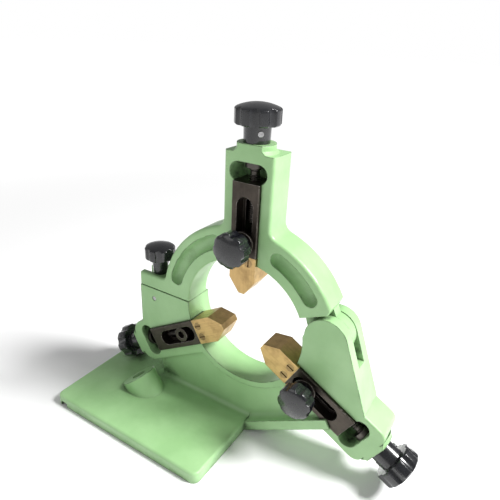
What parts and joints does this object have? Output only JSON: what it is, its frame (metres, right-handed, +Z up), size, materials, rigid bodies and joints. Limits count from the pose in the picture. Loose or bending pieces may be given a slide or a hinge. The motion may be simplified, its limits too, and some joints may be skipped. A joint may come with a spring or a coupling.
{
  "type": "steady rest",
  "caption": "Cast steady rest with a hinged arch and three screw-adjusted brass-tipped jaws that hold round work in its ring, standing on a side base plate.",
  "frame": {"origin": "on the base plate's flat underside, straight below the work axis, in the plane of the jaws' screws", "axes": "+Z up from the table to the work axis, +Y through the ring from front to back along the work axis, +X to the right, away from the base plate"},
  "size_m": [0.3585, 0.122, 0.3291],
  "materials": {
    "casting_enamel": "light green enamel, satin",
    "dark_steel": "dark, lightly brushed",
    "bright_steel": "machined",
    "brass": "brushed",
    "black_bakelite": "glossy"
  },
  "bodies": {
    "base": {"base_casting": "casting_enamel", "hinge_pin": "bright_steel", "eye_bolt": "bright_steel", "eye_bolt_pin": "bright_steel"},
    "arch": {"arch_casting": "casting_enamel"},
    "lock_knob": {"lock_knob": "black_bakelite", "lock_knob_bush": "brass"},
    "top_jaw": {"top_slide": "dark_steel", "top_tip": "brass", "top_tip_screws": "brass"},
    "top_screw": {"top_adjusting_screw": "bright_steel", "top_screw_collar": "bright_steel", "top_adjusting_knob": "black_bakelite", "top_knob_pin": "bright_steel"},
    "top_clamp": {"top_clamp_knob": "black_bakelite", "top_clamp_stud": "bright_steel", "top_clamp_washer": "bright_steel"},
    "left_jaw": {"left_slide": "dark_steel", "left_tip": "brass", "left_tip_screws": "brass"},
    "left_screw": {"left_adjusting_screw": "bright_steel", "left_screw_collar": "bright_steel", "left_adjusting_knob": "black_bakelite", "left_knob_pin": "bright_steel"},
    "left_clamp": {"left_clamp_screw": "dark_steel"},
    "right_jaw": {"right_slide": "dark_steel", "right_tip": "brass", "right_tip_screws": "brass"},
    "right_screw": {"right_adjusting_screw": "bright_steel", "right_screw_collar": "bright_steel", "right_adjusting_knob": "black_bakelite", "right_knob_pin": "bright_steel"},
    "right_clamp": {"right_clamp_knob": "black_bakelite", "right_clamp_stud": "bright_steel", "right_clamp_washer": "bright_steel"}
  },
  "joints": [
    {"name": "arch_hinge", "type": "hinge", "parent": "base", "child": "arch", "pos_m": [0.086, 0, 0.139], "axis": [0, 1, 0], "range_deg": [0, 100]},
    {"name": "lock_turn", "type": "hinge", "parent": "arch", "child": "lock_knob", "pos_m": [-0.112, 0, 0.141], "axis": [0, 0, 1], "range_deg": [0, 720]},
    {"name": "top_feed", "type": "slide", "parent": "arch", "child": "top_jaw", "axis": [0, 0, -1], "range_m": [-0.001, 0.029]},
    {"name": "top_screw_turn", "type": "hinge", "parent": "arch", "child": "top_screw", "pos_m": [0, 0, 0.2965], "axis": [0, 0, -1], "range_deg": [-5220.5, 180.5]},
    {"name": "top_clamp_turn", "type": "hinge", "parent": "arch", "child": "top_clamp", "pos_m": [0, -0.015, 0.21], "axis": [0, -1, 0], "range_deg": [0, 360]},
    {"name": "left_feed", "type": "slide", "parent": "base", "child": "left_jaw", "axis": [0.866, 0, 0.5], "range_m": [-0.0125, 0.0175]},
    {"name": "left_screw_turn", "type": "hinge", "parent": "base", "child": "left_screw", "pos_m": [-0.14116, 0, 0.0435], "axis": [0.866, 0, 0.5], "range_deg": [-3150.5, 2250.5]},
    {"name": "left_clamp_turn", "type": "hinge", "parent": "base", "child": "left_clamp", "pos_m": [-0.07361, -0.015, 0.0825], "axis": [0, -1, 0], "range_deg": [0, 360]},
    {"name": "right_feed", "type": "slide", "parent": "base", "child": "right_jaw", "axis": [-0.866, 0, 0.5], "range_m": [-0.0055, 0.0245]},
    {"name": "right_screw_turn", "type": "hinge", "parent": "base", "child": "right_screw", "pos_m": [0.14592, 0, 0.04075], "axis": [-0.866, 0, 0.5], "range_deg": [-4410.5, 990.5]},
    {"name": "right_clamp_turn", "type": "hinge", "parent": "base", "child": "right_clamp", "pos_m": [0.07361, -0.015, 0.0825], "axis": [0, -1, 0], "range_deg": [0, 360]}
  ],
  "couplings": [
    {"joint": "top_screw_turn", "follows": "top_feed", "rad_per_m": -3141.6},
    {"joint": "left_screw_turn", "follows": "left_feed", "rad_per_m": -3141.6},
    {"joint": "right_screw_turn", "follows": "right_feed", "rad_per_m": -3141.6}
  ]
}
